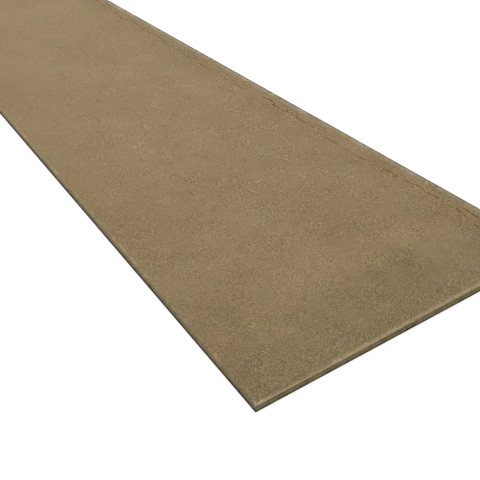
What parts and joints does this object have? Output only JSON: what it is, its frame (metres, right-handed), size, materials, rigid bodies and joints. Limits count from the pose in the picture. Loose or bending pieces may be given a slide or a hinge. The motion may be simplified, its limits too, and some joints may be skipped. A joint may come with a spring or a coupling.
{
  "type": "fiber cement lap siding plank",
  "caption": "Flat fibre-cement cladding plank with eased face edges, knife-rolled cut ends and an interrupted nail line pressed along its top edge.",
  "frame": {"origin": "centre of the back face, which rests on the floor", "axes": "+X along the plank's length towards the cut end that shows, +Y across it towards the top edge with the nail line, +Z out of the weather face"},
  "size_m": [3.6576, 0.3048, 0.0079],
  "materials": {
    "fibre_cement": "uncoated smooth fibre cement, matte, tan-brown with fine mottling"
  },
  "bodies": {
    "root": {"plank": "fibre_cement"}
  },
  "joints": []
}
